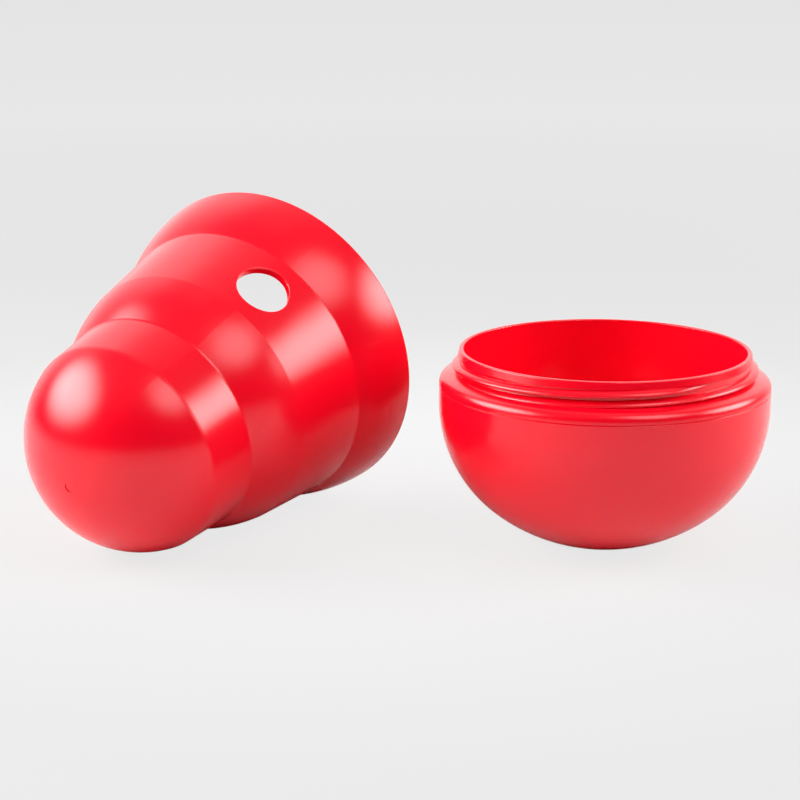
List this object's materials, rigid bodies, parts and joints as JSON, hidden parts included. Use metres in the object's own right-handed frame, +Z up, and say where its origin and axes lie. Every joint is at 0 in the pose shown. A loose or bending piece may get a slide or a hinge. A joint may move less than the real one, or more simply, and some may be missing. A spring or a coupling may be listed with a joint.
{
  "type": "wobble treat dispenser",
  "caption": "Weighted round-bottomed treat cup with a threaded neck, and its hollow lobed screw-on top with a round treat hole, lying on its side next to it.",
  "frame": {"origin": "centre of the base's flat foot, on the floor that both halves rest on", "axes": "+Z up along the base's axis, +X away from the side that the top lies on, -Y towards the viewer of the picture"},
  "size_m": [0.3224, 0.1826, 0.1461],
  "materials": {
    "bowl_plastic": "satin gloss, red",
    "cup_plastic": "satin gloss, red",
    "ballast_iron": "rough cast, sealed inside",
    "top_plastic": "satin gloss, red"
  },
  "bodies": {
    "base": {"base_bowl": "bowl_plastic", "base_cup": "cup_plastic", "ballast_weight": "ballast_iron"},
    "top": {"top_shell": "top_plastic"}
  },
  "joints": [
    {"name": "top_turn", "type": "hinge", "parent": "base", "child": "top", "pos_m": [-0.1488, 0.0699, 0.07343], "axis": [-0.5041, -0.8356, -0.2184], "continuous": true}
  ]
}
